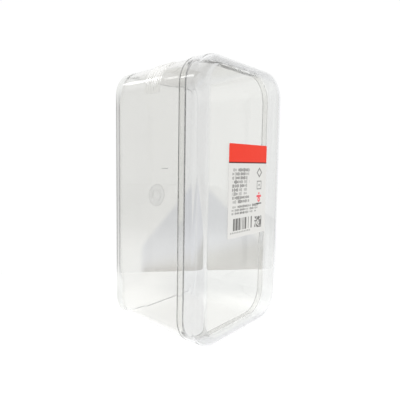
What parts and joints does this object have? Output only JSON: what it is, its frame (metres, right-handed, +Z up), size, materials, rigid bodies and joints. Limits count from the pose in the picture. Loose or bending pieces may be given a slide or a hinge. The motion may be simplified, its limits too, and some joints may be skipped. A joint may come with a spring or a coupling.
{
  "type": "plastic box with lid",
  "caption": "Clear plastic storage box with rounded corners, tapered walls and a push-on lid over a rim neck, shown standing on its short end, with a stuck label on the lid.",
  "frame": {"origin": "on the standing surface, below the middle of the box", "axes": "+Z up along the length of the box, the lid faces -Y, the base faces +Y, +X to the right when facing the lid"},
  "size_m": [0.106, 0.0882, 0.2],
  "materials": {
    "body_plastic": "clear moulded, polished",
    "lid_plastic": "clear moulded, polished",
    "label_paper": "printed, satin",
    "tape_film": "clear film, wrinkled"
  },
  "bodies": {
    "body": {"box_body": "body_plastic", "clear_tape": "tape_film"},
    "lid": {"lid": "lid_plastic", "label": "label_paper"}
  },
  "joints": [
    {"name": "lid_slide", "type": "slide", "parent": "body", "child": "lid", "axis": [0, -1, 0], "range_m": [0, 0.06]}
  ]
}
